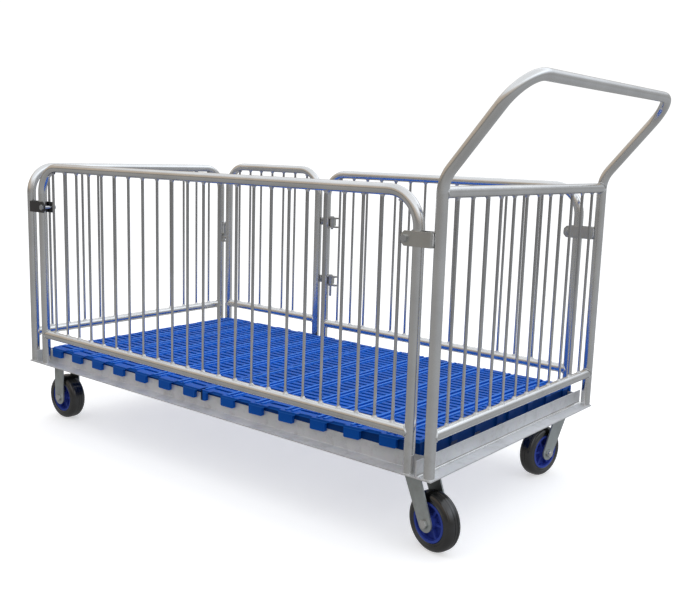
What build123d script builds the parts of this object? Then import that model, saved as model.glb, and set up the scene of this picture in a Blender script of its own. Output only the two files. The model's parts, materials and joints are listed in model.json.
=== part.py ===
from build123d import *
import os
from math import cos, floor, radians, sin

os.makedirs("parts", exist_ok=True)

# Piglet transfer cart: barred sides round a slatted plastic floor, on an angle-iron base with four casters.
# +X runs along the bed to the push handle, -Y is the closed long side, +Y the side with the gate, +Z is up.
# The origin is on the ground, in the middle of the overall length and width. Sizes are in millimetres.

# Bent tube and rod stock
tube_d = 22.0
tube_wall = 1.5
bend_r = 68.0
rod_d = 6.5

# Places of the posts' axes
end_spacing = 1300.0
bed_width = 682.0
front_gap_left = 52.0
front_gap_handle = 46.0
back_gap_handle = 52.0
latch_gap = 40.0
gate_width = 383.0
hinge_gap = 34.0

# Heights of the rails' axes above the ground
lower_rail_z = 245.0
top_rail_z = 691.0
gate_lift = 8.0

# Push handle
handle_knee_z = 713.0
handle_top_z = 893.0
handle_reach = 150.0

# Bars in each panel
front_bar_count = 23
front_bar_drift = 33.0
end_bar_count = 12
back_bar_count = 15
gate_bar_count = 7

# Angle-iron base
angle_leg = 35.0
angle_t = 3.0
angle_root_r = 2.5
base_z = 162.0
base_margin = 1.0
corner_plate_t = 5.0
corner_plate_margin = 6.0
corner_plate_inset = 14.0

# Slatted floor
panel_length = 607.0
panel_gap = 1.0
floor_shift = 10.5
deck_t = 11.0
deck_lip = 7.0
side_wall_t = 4.0
side_wall_inset = 0.5
floor_depth = 25.0
rib_t = 7.0
rib_rise = 2.0
rib_pair_spacing = 17.0
groove_depth = 5.0
first_rib_left = 81.5
first_rib_handle = 0.5
lug_pitch = 89.4
lug_width = 40.0
lug_t = 7.5
lug_corner_r = 3.0
lug_flare = 17.0
lug_flare_h = 8.0
near_lug_left = 29.5
near_lug_handle = -3.5
far_lug_handle = 48.5
lug_clear = 1.0
slot_width = 10.0
slot_pitch = lug_pitch / 4
slot_margin = 8.0
slot_edge = 8.0
end_wall_t = 4.0
end_recess = 1.0
end_lug_t = 4.0
end_lug_width = 22.0
end_lug_first = 25.0
end_lug_pairs = 4
cross_bar_width = 40.0
cross_bar_wall = 2.0
cross_bar_spacing = 262.0

# Corner clips of flat strap
strap_t = 3.0
strap_height = 28.0
strap_play = 0.3
strap_tail = 19.0
strap_corner_r = 5.0
strap_chamfer = 7.0
clip_near_left_z = 588.0
clip_near_right_z = 606.0
clip_far_right_z = 584.0
clip_bolt_inset = 10.0
fastener_d = 8.0
fastener_play = 0.4
thread_play = 0.05
hex_across = 13.0
bolt_head_h = 5.3
nut_h = 6.5
bolt_end = 2.0

# Gate hinges and latch
bracket_t = 4.0
bracket_web = 3.0
bracket_bite = 2.0
bracket_width = 16.0
bracket_opening = 22.0
hinge_upper_z = 550.0
hinge_lower_z = 377.0
hinge_prong = 33.0
hinge_pin_d = 7.0
hinge_pin_offset = 10.0
hinge_pin_play = 0.06
hinge_pin_end = 5.0
hinge_drop = 31.0
hinge_eye_r = 6.5
pin_head_r = 6.0
pin_head_h = 3.0
arm_t = 4.0
arm_play = 0.3
arm_clear = 0.8
pad_width = 14.0
latch_z = 468.0
latch_prong = 11.0
latch_pin_d = 6.0
latch_pin_offset = 5.5
latch_pin_play = 0.3
latch_tab_t = 4.0
latch_tab_play = 0.8
latch_lift = 24.0
latch_pin_guard = 2.0
latch_collar_h = 4.0
latch_grip = 18.0

# Casters
wheel_d = 120.0
tyre_width = 41.0
tyre_shoulder_r = 13.0
tyre_groove_w = 2.5
tyre_groove_depth = 1.5
tyre_groove_spacing = 7.0
hub_r = 40.0
hub_rim_t = 5.0
hub_width = 34.0
hub_web_t = 8.0
hub_boss_r = 15.0
hub_boss_width = 42.0
hub_rib_t = 5.0
hub_rib_count = 6
hub_rib_width = 24.0
spacer_r = 8.0
axle_d = 10.0
axle_play = 0.2
bearing_play = 0.05
axle_hex_across = 16.0
axle_head_h = 6.4
axle_nut_h = 8.0
fork_gap = 46.0
fork_t = 3.5
fork_top_width = 43.0
fork_end_r = 17.5
fork_bend_h = 6.0
fixed_leg_width = 39.0
caster_inset_y = 64.0
fixed_inset = 56.0
fixed_leg_shift = 8.0
swivel_inset = 56.0
swivel_trail = 38.0
swivel_yaw_near = -12.0
swivel_yaw_far = 259.0
plate_length = 72.0
plate_width = 84.0
plate_t = 4.0
plate_corner_r = 6.0
plate_bolts_x = 48.0
plate_bolts_y = 68.0
race_r = 27.0
race_h = 4.0
race_gap = 3.0
ball_circle_r = 20.0
ball_d = 7.0
ball_play = 0.3
ball_count = 14
kingpin_d = 12.0
kingpin_head_r = 10.0
kingpin_head_h = 6.0
kingpin_play = 0.3

# Places worked out from the sizes above
tube_r = tube_d / 2
rod_r = rod_d / 2
left_overhang = max(tube_r + base_margin, wheel_d / 2 + fixed_leg_shift - fixed_inset)
bed_x = (left_overhang - handle_reach - tube_r) / 2
left_x = bed_x - end_spacing / 2
handle_x = bed_x + end_spacing / 2
side_y = bed_width / 2
front_left_x = left_x + front_gap_left
front_right_x = handle_x - front_gap_handle
gate_left_x = left_x + latch_gap
gate_right_x = gate_left_x + gate_width
back_left_x = gate_right_x + hinge_gap
back_right_x = handle_x - back_gap_handle
base_half_x = end_spacing / 2 + tube_r + base_margin
base_half_y = side_y + tube_r + base_margin
flange_z = base_z + angle_t
leg_top_z = base_z + angle_leg
leg_outer_y = base_half_y - angle_leg + angle_t
leg_inner_y = base_half_y - angle_leg
floor_top_z = leg_top_z + deck_t
floor_bottom_z = floor_top_z - floor_depth
fixed_x = left_x + fixed_inset
swivel_x = handle_x - swivel_inset
caster_y = side_y - caster_inset_y
plate_top_z = base_z - corner_plate_t
plate_bottom_z = plate_top_z - plate_t
race_top_z = plate_bottom_z - race_h
race_low_z = race_top_z - race_gap
crown_top_z = race_low_z - race_h
crown_z = crown_top_z - fork_t
axle_z = wheel_d / 2
fork_half = fork_gap / 2
axle_span = fork_gap + 2 * fork_t
hinge_x = back_left_x + tube_r + hinge_pin_offset
latch_pin_x = left_x + tube_r + bracket_web + latch_pin_offset

near_side = Plane.XZ.offset(side_y)
far_side = Plane.XZ.offset(-side_y)
left_end = Plane.YZ.offset(left_x)
handle_end = Plane.YZ.offset(handle_x)


def save(part, name):
    """Label a finished piece and write it."""
    part.label = name
    export_step(part, f"parts/{name}.step")


def tube_section(hollow):
    """Draw the tube's ring, or its full disc, in the open sketch."""
    Circle(tube_r)
    if hollow:
        Circle(tube_r - tube_wall, mode=Mode.SUBTRACT)


def hoop(plane, left, right, foot, top, hollow=True):
    """A tube bent into an upside-down U that stands in a plane."""
    with BuildPart() as bent:
        with BuildLine(plane) as path:
            FilletPolyline((left, foot), (left, top), (right, top), (right, foot), radius=bend_r)
        with BuildSketch(Plane(path.line @ 0, z_dir=path.line % 0)):
            tube_section(hollow)
        sweep()
    return bent.part


def handle_loop(hollow=True):
    """The handle: two posts of the end frame that lean out above it and meet in the push bar."""
    top_x = handle_x + handle_reach
    with BuildPart() as bent:
        with BuildLine() as path:
            FilletPolyline(
                (handle_x, -side_y, flange_z),
                (handle_x, -side_y, handle_knee_z),
                (top_x, -side_y, handle_top_z),
                (top_x, side_y, handle_top_z),
                (handle_x, side_y, handle_knee_z),
                (handle_x, side_y, flange_z),
                radius=bend_r,
            )
        with BuildSketch(Plane(path.line @ 0, z_dir=path.line % 0)):
            tube_section(hollow)
        sweep()
    return bent.part


def rail(plane, left, right, height, posts=None):
    """A straight tube from post to post, its ends hollowed to sit against the posts."""
    with BuildPart() as straight:
        with BuildSketch(Plane(plane.from_local_coords((left, height, 0)), z_dir=plane.x_dir)):
            tube_section(posts is not None)
        extrude(amount=right - left)
        if posts is not None:
            add(posts, mode=Mode.SUBTRACT)
    return straight.part


def bars(plane, count, left, right, low, top, tubes, drift=0.0):
    """Upright rods between two posts, trimmed to the tubes above and below them.

    They stand at even shares of the width. A drift pushes those about two thirds along it to the right.
    """
    shares = [(i + 1) / (count + 1) for i in range(count)]
    places = [s * (right - left) + drift * 27 / 4 * s * s * (1 - s) for s in shares]
    ground = Plane(plane.from_local_coords((left, low, 0)), x_dir=plane.x_dir, z_dir=(0, 0, 1))
    with BuildPart() as rods:
        with BuildSketch(ground):
            with Locations([(along, 0) for along in places]):
                Circle(rod_r)
        extrude(amount=top - low)
        with BuildSketch(plane):
            with BuildLine():
                FilletPolyline((left, low), (left, top), (right, top), (right, low), radius=bend_r)
                Line((right, low), (left, low))
            make_face()
        extrude(amount=rod_d, both=True, mode=Mode.INTERSECT)
        for tube in tubes:
            add(tube, mode=Mode.SUBTRACT)
    return rods.part


def framed_panel(name, plane, left, right, count, lift=0.0, drift=0.0):
    """A hoop with a lower rail and its bars, hung by a lift above the fixed panels."""
    foot = flange_z + lift
    low = lower_rail_z + lift
    top = top_rail_z + lift
    hoop_core = hoop(plane, left, right, foot, top, hollow=False)
    rail_core = rail(plane, left, right, low)
    save(hoop(plane, left, right, foot, top), f"{name}_hoop")
    save(rail(plane, left, right, low, hoop_core), f"{name}_lower_rail")
    save(bars(plane, count, left, right, low, top, [hoop_core, rail_core], drift), f"{name}_bars")


# Barred panels: closed front, left end, wide back panel and the gate
framed_panel("front", near_side, front_left_x, front_right_x, front_bar_count, drift=front_bar_drift)
framed_panel("left_end", left_end, -side_y, side_y, end_bar_count)
framed_panel("back", far_side, back_left_x, back_right_x, back_bar_count)
framed_panel("gate", far_side, gate_left_x, gate_right_x, gate_bar_count, gate_lift)

# Handle end: the push handle's own posts with two rails and bars between them
handle_core = handle_loop(hollow=False)
top_core = rail(handle_end, -side_y, side_y, top_rail_z)
low_core = rail(handle_end, -side_y, side_y, lower_rail_z)
save(handle_loop(), "push_handle")
save(rail(handle_end, -side_y, side_y, top_rail_z, handle_core), "handle_end_top_rail")
save(rail(handle_end, -side_y, side_y, lower_rail_z, handle_core), "handle_end_lower_rail")
end_rails = [top_core, low_core]
handle_bars = bars(handle_end, end_bar_count, -side_y, side_y, lower_rail_z, top_rail_z, end_rails)
save(handle_bars, "handle_end_bars")


def post(x, y, low, high):
    """The solid body of a post between two heights, to trim what is welded against it."""
    with BuildPart() as core:
        with BuildSketch(Plane((x, y, low))):
            Circle(tube_r)
        extrude(amount=high - low)
    return core.part


# Angle-iron base: upright leg inside and flange outside, the long rails set between the end rails


def base_rail(turn, half_length, half_across):
    """One rail of the base, run along the X axis of a frame turned about the bed's middle."""
    side = Plane((bed_x, 0, 0)).rotated((0, 0, turn))
    start = side.from_local_coords((-half_length, 0, 0))
    with BuildPart() as rail_part:
        with BuildSketch(Plane(start, x_dir=side.y_dir, z_dir=side.x_dir)):
            with BuildLine():
                Polyline(
                    (-half_across, base_z),
                    (-half_across + angle_leg, base_z),
                    (-half_across + angle_leg, leg_top_z),
                    (-half_across + angle_leg - angle_t, leg_top_z),
                    (-half_across + angle_leg - angle_t, flange_z),
                    (-half_across, flange_z),
                    close=True,
                )
            make_face()
        extrude(amount=2 * half_length)
        root = rail_part.edges().filter_by(Axis(side.origin, side.x_dir)).sort_by(Axis.Z)[2:4]
        fillet(root.sort_by(lambda e: side.to_local_coords(e.center()).Y)[-1:], angle_root_r)
    return rail_part.part


long_rail_half = base_half_x - angle_leg
save(base_rail(0, long_rail_half, base_half_y), "base_rail_near")
save(base_rail(180, long_rail_half, base_half_y), "base_rail_far")
save(base_rail(90, base_half_y, base_half_x), "base_rail_handle_end")
save(base_rail(270, base_half_y, base_half_x), "base_rail_left")

# Corner plates under the flanges, each with the bolt holes of its caster
casters = [(fixed_x, -caster_y), (fixed_x, caster_y), (swivel_x, -caster_y), (swivel_x, caster_y)]

with BuildPart() as caster_corner_plates:
    for x, y in casters:
        toward = 1 if x > bed_x else -1
        side = 1 if y > 0 else -1
        outer_x = bed_x + toward * (base_half_x - corner_plate_inset)
        inner_x = x - toward * (plate_length / 2 + corner_plate_margin)
        outer_y = side * (base_half_y - corner_plate_inset)
        inner_y = y - side * (plate_width / 2 + corner_plate_margin)
        with BuildSketch(Plane.XY.offset(plate_top_z)):
            with Locations(((outer_x + inner_x) / 2, (outer_y + inner_y) / 2)):
                Rectangle(abs(outer_x - inner_x), abs(outer_y - inner_y))
            with Locations((x, y)):
                with GridLocations(plate_bolts_x, plate_bolts_y, 2, 2):
                    Circle(fastener_d / 2 + fastener_play, mode=Mode.SUBTRACT)
        extrude(amount=corner_plate_t)
save(caster_corner_plates.part, "caster_corner_plates")

# Cross bars of flat box tube that carry the floor's ribs between the long rails
seam_x = bed_x + floor_shift
cross_bar_h = floor_bottom_z - flange_z
with BuildPart() as floor_cross_bars:
    with BuildSketch(Plane.XZ.offset(-leg_inner_y)):
        with Locations([(seam_x + i * cross_bar_spacing, flange_z + cross_bar_h / 2) for i in (-1, 0, 1)]):
            Rectangle(cross_bar_width, cross_bar_h)
            hollow = (cross_bar_width - 2 * cross_bar_wall, cross_bar_h - 2 * cross_bar_wall)
            Rectangle(*hollow, mode=Mode.SUBTRACT)
    extrude(amount=2 * leg_inner_y)
save(floor_cross_bars.part, "floor_cross_bars")


def lug_row(start, first):
    """Places of a panel's lugs along one long edge."""
    return [start + first + i * lug_pitch for i in range(1 + floor((panel_length - first) / lug_pitch))]


def floor_panel(start, first_rib, near_lug, far_lug):
    """A moulded slatted panel: slotted deck, grooved rib pairs, lugs over the long rails and on the ends."""
    end = start + panel_length
    middle = (start + end) / 2
    deck_start = start + end_lug_t
    deck_end = end - end_lug_t
    deck_length = deck_end - deck_start
    deck_half = leg_outer_y + lug_clear
    wall_start = deck_start + end_recess
    wall_end = deck_end - end_recess
    half_pair = rib_pair_spacing / 2
    first_x = wall_start + rib_t / 2
    last_x = wall_end - end_wall_t - rib_t
    rib_x = [x + s * half_pair for x in lug_row(start, first_rib) for s in (-1, 1)]
    rib_x = [x for x in rib_x if first_x < x < last_x]
    groove_x = [x for x in lug_row(start, first_rib) if first_x < x - half_pair and x + half_pair < last_x]
    rows = floor((2 * deck_half - 2 * slot_edge) / slot_pitch)
    strip = [wall_start] + rib_x + [wall_end]
    inner_half = leg_inner_y - lug_clear
    wall_y = leg_outer_y - side_wall_inset - side_wall_t / 2
    lip_z = floor_top_z - deck_lip
    end_lug_y = [s * (end_lug_first + i * lug_pitch) for i in range(end_lug_pairs) for s in (-1, 1)]
    end_lug_length = end_lug_t + end_recess + end_wall_t
    with BuildPart() as panel:
        with BuildSketch(Plane.XY.offset(lip_z)):
            with Locations((middle, 0)):
                Rectangle(deck_length, 2 * deck_half)
            for a, b in zip(strip, strip[1:]):
                length = b - a - 2 * slot_margin
                if length > 2 * slot_width:
                    with Locations(((a + b) / 2, 0)):
                        with GridLocations(1, slot_pitch, 1, rows):
                            SlotOverall(length, slot_width, mode=Mode.SUBTRACT)
        extrude(amount=deck_lip)
        with BuildSketch(Plane.XY.offset(leg_top_z)):
            with Locations((middle, wall_y), (middle, -wall_y)):
                Rectangle(deck_length, side_wall_t)
        extrude(amount=lip_z - leg_top_z)
        with BuildSketch(Plane.XY.offset(floor_bottom_z)):
            with Locations([(x, 0) for x in rib_x]):
                Rectangle(rib_t, 2 * inner_half)
            with Locations((wall_start + end_wall_t / 2, 0), (wall_end - end_wall_t / 2, 0)):
                Rectangle(end_wall_t, 2 * inner_half)
        extrude(amount=lip_z - floor_bottom_z)
        with BuildSketch(Plane.XY.offset(floor_bottom_z)):
            for x in (start + end_lug_length / 2, end - end_lug_length / 2):
                with Locations([(x, y) for y in end_lug_y]):
                    Rectangle(end_lug_length, end_lug_width)
        extrude(amount=floor_depth)
        with BuildSketch(Plane.XY.offset(floor_top_z)):
            with Locations([(x, 0) for x in rib_x]):
                Rectangle(rib_t, 2 * deck_half)
        extrude(amount=rib_rise)
        with BuildSketch(Plane.XY.offset(floor_top_z)):
            with Locations([(x, 0) for x in groove_x]):
                Rectangle(rib_pair_spacing - rib_t, 2 * inner_half)
        extrude(amount=-groove_depth, mode=Mode.SUBTRACT)
        for side, first in ((1, near_lug), (-1, far_lug)):
            with BuildSketch(Plane.XZ.offset(side * deck_half)):
                for x in lug_row(start, first):
                    low_x = max(x - lug_width / 2, start)
                    high_x = min(x + lug_width / 2, end)
                    shoulder = high_x if side > 0 else low_x
                    root = shoulder - side * lug_corner_r
                    tip = min(max(shoulder + side * lug_flare, start), end)
                    with Locations(((low_x + high_x) / 2, (floor_bottom_z + floor_top_z) / 2)):
                        RectangleRounded(high_x - low_x, floor_depth, lug_corner_r)
                    with BuildLine():
                        Polyline(
                            (root, floor_top_z),
                            (tip, floor_top_z),
                            (shoulder, floor_top_z - lug_flare_h),
                            (root, floor_top_z - lug_flare_h),
                            close=True,
                        )
                    make_face()
            extrude(amount=side * lug_t)
    return panel.part


left_start = seam_x - panel_gap / 2 - panel_length
handle_start = seam_x + panel_gap / 2
save(floor_panel(left_start, first_rib_left, near_lug_left, first_rib_left), "floor_panel_left")
save(floor_panel(handle_start, first_rib_handle, near_lug_handle, far_lug_handle), "floor_panel_handle_end")


def hex_bolt(seat, reach, across, head):
    """A hexagon bolt whose head stands on a seat plane and whose shank goes back through it."""
    with BuildPart() as bolt:
        with BuildSketch(seat):
            RegularPolygon(across / 2, 6, major_radius=False)
        extrude(amount=head)
        with BuildSketch(seat):
            Circle(reach[1] / 2)
        extrude(amount=-reach[0])
    return bolt.part


def hex_nut(seat, bore_d, across, height):
    """A hexagon nut that stands on a seat plane."""
    with BuildPart() as nut:
        with BuildSketch(seat):
            RegularPolygon(across / 2, 6, major_radius=False)
            Circle(bore_d / 2 + thread_play, mode=Mode.SUBTRACT)
        extrude(amount=height)
    return nut.part


def group(parts):
    """Separate solids kept together as one node."""
    with BuildPart() as together:
        for part in parts:
            add(part)
    return together.part


# Corner clips: a strap round the panel's post, welded to the end post and closed by a bolt
strap_inner = tube_r + strap_play
strap_outer = strap_inner + strap_t
clips = {
    "near_left": (left_x, 1, -1, front_gap_left, clip_near_left_z),
    "near_right": (handle_x, -1, -1, front_gap_handle, clip_near_right_z),
    "far_right": (handle_x, -1, 1, back_gap_handle, clip_far_right_z),
}


def corner_clip(end_x, toward, side, gap, clip_z):
    """The U-shaped strap of one corner, with its bolt hole."""
    web = tube_r + strap_t
    reach = gap + tube_r + strap_tail
    start = tube_r - bracket_bite
    plane = Plane((end_x, side * side_y, clip_z - strap_height / 2), x_dir=(toward, 0, 0), z_dir=(0, 0, 1))
    with BuildPart() as strap:
        with BuildSketch(plane) as outline:
            with Locations(((start + reach) / 2, 0)):
                Rectangle(reach - start, 2 * strap_outer)
            fillet(outline.vertices().sort_by(Axis.X)[:2], strap_corner_r)
            with Locations((web + reach / 2, 0)):
                Rectangle(reach, 2 * strap_inner, mode=Mode.SUBTRACT)
            Circle(tube_r, mode=Mode.SUBTRACT)
        extrude(amount=strap_height)
        tails = strap.edges().filter_by(Axis.Y).group_by(Axis.X)[-1 if toward > 0 else 0]
        chamfer(tails, strap_chamfer)
        bolt_x = end_x + toward * (gap + tube_r + clip_bolt_inset)
        with BuildSketch(Plane((bolt_x, side * side_y, clip_z), z_dir=(0, 1, 0))):
            Circle(fastener_d / 2 + fastener_play)
        extrude(amount=strap_outer, both=True, mode=Mode.SUBTRACT)
    return strap.part


clip_bolts = []
clip_nuts = []
for name, (end_x, toward, side, gap, clip_z) in clips.items():
    save(corner_clip(end_x, toward, side, gap, clip_z), f"corner_clip_{name}")
    bolt_x = end_x + toward * (gap + tube_r + clip_bolt_inset)
    outside = Plane((bolt_x, side * (side_y + strap_outer), clip_z), z_dir=(0, side, 0))
    inside = Plane((bolt_x, side * (side_y - strap_outer), clip_z), z_dir=(0, -side, 0))
    shank = 2 * strap_outer + nut_h + bolt_end
    clip_bolts.append(hex_bolt(outside, (shank, fastener_d), hex_across, bolt_head_h))
    clip_nuts.append(hex_nut(inside, fastener_d, hex_across, nut_h))
save(group(clip_bolts), "corner_clip_bolts")
save(group(clip_nuts), "corner_clip_nuts")


def bracket(post_x, height, prong, pin_x, pin_hole_r):
    """A U-shaped bracket welded on the handle-end face of a far-side post, with a pin hole in both prongs."""
    half = bracket_opening / 2 + bracket_t
    web_end = post_x + tube_r + bracket_web
    web_start = post_x + tube_r - bracket_bite
    tip = post_x + tube_r + prong
    with BuildPart() as clevis:
        with BuildSketch(Plane.XZ.offset(-side_y)):
            with Locations(((web_start + tip) / 2, height)):
                Rectangle(tip - web_start, 2 * half)
            with Locations(((web_end + tip + prong) / 2, height)):
                Rectangle(tip + prong - web_end, bracket_opening, mode=Mode.SUBTRACT)
        extrude(amount=bracket_width / 2, both=True)
        add(post(post_x, side_y, height - 2 * half, height + 2 * half), mode=Mode.SUBTRACT)
        with BuildSketch(Plane((pin_x, side_y, height - half))):
            Circle(pin_hole_r)
        extrude(amount=2 * half, mode=Mode.SUBTRACT)
    return clevis.part


# Gate hinges: brackets and pins on the back panel's post, arms that reach behind it from the gate's post
hinge_half = bracket_opening / 2 + bracket_t
pin_r = hinge_pin_d / 2
hinge_heights = (hinge_upper_z, hinge_lower_z)
hinge_brackets = [bracket(back_left_x, z, hinge_prong, hinge_x, pin_r) for z in hinge_heights]
save(group(hinge_brackets), "gate_hinge_brackets")

with BuildPart() as gate_hinge_pins:
    for z, tail in ((hinge_upper_z, hinge_pin_end), (hinge_lower_z, hinge_drop)):
        with BuildSketch(Plane((hinge_x, side_y, z - hinge_half - tail))):
            Circle(pin_r)
        extrude(amount=2 * hinge_half + tail)
        with BuildSketch(Plane((hinge_x, side_y, z + hinge_half))):
            Circle(pin_head_r)
        extrude(amount=pin_head_h)
save(gate_hinge_pins.part, "gate_hinge_pins")

arm_inner_y = side_y + tube_r + arm_clear
arm_outer_y = arm_inner_y + arm_t
arm_height = bracket_opening - 2 * arm_play
with BuildPart() as gate_hinge_arms:
    for z in hinge_heights:
        base = Plane.XY.offset(z - arm_height / 2)
        with BuildSketch(base):
            with BuildLine():
                Polyline(
                    (hinge_x - arm_t / 2, side_y),
                    (hinge_x + arm_t / 2, side_y),
                    (hinge_x + arm_t / 2, arm_outer_y),
                    (gate_right_x - pad_width / 2, arm_outer_y),
                    (gate_right_x - pad_width / 2, arm_inner_y),
                    (hinge_x - arm_t / 2, arm_inner_y),
                    close=True,
                )
            make_face()
            with Locations((hinge_x, side_y)):
                Circle(hinge_eye_r)
                Circle(pin_r + hinge_pin_play, mode=Mode.SUBTRACT)
            pad_y = side_y + tube_r - bracket_bite
            with Locations((gate_right_x, (pad_y + arm_inner_y) / 2)):
                Rectangle(pad_width, arm_inner_y - pad_y)
            with Locations((gate_right_x, side_y)):
                Circle(tube_r, mode=Mode.SUBTRACT)
        extrude(amount=arm_height)
save(gate_hinge_arms.part, "gate_hinge_arms")

# Gate latch: a bracket on the end post, a holed tab on the gate's post and a drop pin, shown lifted
latch_hole_r = latch_pin_d / 2 + latch_pin_play
save(bracket(left_x, latch_z, latch_prong, latch_pin_x, latch_hole_r), "latch_keeper")

tab_tip_x = left_x + tube_r + bracket_web + latch_tab_play
tab_root_x = gate_left_x - tube_r + bracket_bite
with BuildPart() as gate_latch_tab:
    with BuildSketch(Plane.XY.offset(latch_z - latch_tab_t / 2)):
        with Locations(((tab_tip_x + tab_root_x) / 2, side_y)):
            Rectangle(tab_root_x - tab_tip_x, bracket_width)
        with Locations((gate_left_x, side_y)):
            Circle(tube_r, mode=Mode.SUBTRACT)
        with Locations((latch_pin_x, side_y)):
            Circle(latch_hole_r + latch_pin_play, mode=Mode.SUBTRACT)
    extrude(amount=latch_tab_t)
save(gate_latch_tab.part, "gate_latch_tab")

latch_pin_low = latch_z + latch_tab_t / 2 + latch_pin_guard
latch_collar_low = latch_z + bracket_opening / 2 + bracket_t + latch_lift + latch_pin_play
latch_pin_top = latch_collar_low + latch_collar_h + latch_pin_d
with BuildPart() as latch_pin:
    with BuildLine() as path:
        FilletPolyline(
            (latch_pin_x, side_y, latch_pin_low),
            (latch_pin_x, side_y, latch_pin_top),
            (latch_pin_x, side_y + latch_grip, latch_pin_top),
            radius=latch_pin_d,
        )
    with BuildSketch(Plane(path.line @ 0, z_dir=path.line % 0)):
        Circle(latch_pin_d / 2)
    sweep()
    with BuildSketch(Plane((latch_pin_x, side_y, latch_collar_low))):
        Circle(latch_pin_d / 2 + latch_pin_guard)
    extrude(amount=latch_collar_h)
save(latch_pin.part, "latch_pin")


def caster_frame(x, y, yaw):
    """A plane on the ground under a caster's fixing, its X axis along the way that the wheel trails."""
    heading = Vector(cos(radians(yaw)), sin(radians(yaw)), 0)
    return Plane((x, y, 0), x_dir=heading, z_dir=(0, 0, 1))


def caster_profile(frame, across):
    """The upright plane along a caster's wheel, moved across it by a distance."""
    return Plane(frame.from_local_coords((0, -across, 0)), x_dir=frame.x_dir, z_dir=-frame.y_dir)


def fork_legs(frame, trail, top_width, top, end_r):
    """Both legs of a fork: flat cheeks from the crown to the axle."""
    with BuildPart() as legs:
        for across in (-fork_half - fork_t, fork_half):
            with BuildSketch(caster_profile(frame, across)):
                with Locations((trail, axle_z)):
                    Circle(end_r)
                with Locations((0, top - fork_bend_h / 2)):
                    Rectangle(top_width, fork_bend_h)
                make_hull()
                with Locations((trail, axle_z)):
                    Circle(axle_d / 2 + axle_play, mode=Mode.SUBTRACT)
            extrude(amount=fork_t)
    return legs.part


def race_groove(frame, play):
    """The ring that the bearing balls run in, as a solid to cut a race with."""
    with BuildPart() as groove:
        with BuildSketch(Plane(frame.origin, x_dir=frame.x_dir, z_dir=-frame.y_dir)):
            with Locations((ball_circle_r, (race_top_z + race_low_z) / 2)):
                Circle(ball_d / 2 + play)
        revolve(axis=Axis(frame.origin, (0, 0, 1)))
    return groove.part


def swivel_fork(frame):
    """A swivel caster's fork: crown, lower bearing race and two raked legs."""
    with BuildPart() as fork:
        with BuildSketch(frame.offset(crown_z)):
            Rectangle(fork_top_width, axle_span)
        extrude(amount=fork_t)
        with BuildSketch(frame.offset(crown_z)):
            Circle(race_r)
        extrude(amount=race_low_z - crown_z)
        add(fork_legs(frame, swivel_trail, fork_top_width, crown_top_z, fork_end_r))
        with BuildSketch(frame.offset(crown_z)):
            Circle(kingpin_d / 2 + bearing_play)
        extrude(amount=race_low_z - crown_z, mode=Mode.SUBTRACT)
        add(race_groove(frame, ball_play), mode=Mode.SUBTRACT)
    return fork.part


def bolted_plate(frame):
    """A caster's top plate with its four bolt holes."""
    with BuildPart() as plate:
        with BuildSketch(frame.offset(plate_bottom_z)):
            RectangleRounded(plate_length, plate_width, plate_corner_r)
            with GridLocations(plate_bolts_x, plate_bolts_y, 2, 2):
                Circle(fastener_d / 2 + fastener_play, mode=Mode.SUBTRACT)
        extrude(amount=plate_t)
    return plate.part


def swivel_plate(frame):
    """A swivel caster's top plate with the upper bearing race and the kingpin's hole."""
    with BuildPart() as plate:
        add(bolted_plate(frame))
        with BuildSketch(frame.offset(race_top_z)):
            Circle(race_r)
        extrude(amount=race_h)
        with BuildSketch(frame.offset(race_top_z)):
            Circle(kingpin_d / 2)
        extrude(amount=race_h + plate_t, mode=Mode.SUBTRACT)
        add(race_groove(frame, 0), mode=Mode.SUBTRACT)
    return plate.part


def fixed_fork(frame):
    """A fixed caster's fork: top plate and, a little toward the end, two upright legs in one piece."""
    plate = Plane(frame.from_local_coords((fixed_leg_shift, 0, 0)), x_dir=frame.x_dir, z_dir=frame.z_dir)
    with BuildPart() as fork:
        add(bolted_plate(plate))
        add(fork_legs(frame, 0, fixed_leg_width, plate_bottom_z, fixed_leg_width / 2))
    return fork.part


def kingpin(frame):
    """The pin that a swivel fork turns on, riveted in the top plate, with its head under the crown."""
    low = crown_z - kingpin_play - kingpin_head_h
    with BuildPart() as pin:
        with BuildSketch(frame.offset(low)):
            Circle(kingpin_head_r)
        extrude(amount=kingpin_head_h)
        with BuildSketch(frame.offset(low)):
            Circle(kingpin_d / 2)
        extrude(amount=plate_top_z - low)
    return pin.part


def bearing_balls(frame):
    """The ring of balls between the two races."""
    with BuildPart() as balls:
        with Locations(frame.offset((race_top_z + race_low_z) / 2)):
            with PolarLocations(ball_circle_r, ball_count):
                Sphere(ball_d / 2)
    return balls.part


def wheel_frame(frame, trail):
    """The plane of a wheel's middle, its normal along the axle."""
    centre = frame.from_local_coords((trail, 0, axle_z))
    return Plane(centre, x_dir=frame.x_dir, z_dir=-frame.y_dir)


def axle(wheel):
    """The axle bolt with its nut, clamped over both fork legs."""
    head_seat = wheel.offset(axle_span / 2)
    nut_seat = Plane(wheel.offset(-axle_span / 2).origin, x_dir=wheel.x_dir, z_dir=-wheel.z_dir)
    bolt = hex_bolt(head_seat, (axle_span + axle_nut_h + bolt_end, axle_d), axle_hex_across, axle_head_h)
    return [bolt, hex_nut(nut_seat, axle_d, axle_hex_across, axle_nut_h)]


def spacer(wheel):
    """The sleeve on the axle that the hub runs on, clamped between the fork legs."""
    with BuildPart() as sleeve:
        with BuildSketch(wheel.offset(-fork_half)):
            Circle(spacer_r)
            Circle(axle_d / 2 + axle_play, mode=Mode.SUBTRACT)
        extrude(amount=fork_gap)
    return sleeve.part


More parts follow.
